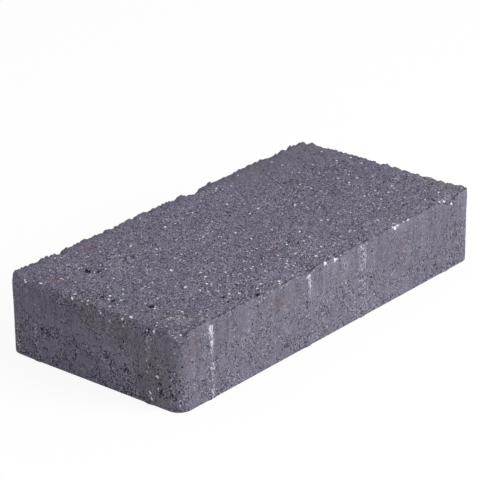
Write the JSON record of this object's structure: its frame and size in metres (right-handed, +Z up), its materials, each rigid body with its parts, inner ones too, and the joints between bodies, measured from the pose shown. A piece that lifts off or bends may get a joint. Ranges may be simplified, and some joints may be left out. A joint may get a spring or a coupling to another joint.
{
  "type": "concrete paving stone",
  "caption": "Flat rectangular paving stone of dark grey pressed concrete, with a rough wearing face, a broken arris and low spacer ribs on its sides.",
  "frame": {"origin": "middle of the bed, the flat face that the stone is laid on", "axes": "+Z up through the wearing face, +X along the length, +Y along the width"},
  "size_m": [0.231, 0.111, 0.04],
  "materials": {
    "charcoal_concrete": "rough pressed concrete, charcoal grey with a violet cast"
  },
  "bodies": {
    "root": {"paving_stone": "charcoal_concrete"}
  },
  "joints": []
}
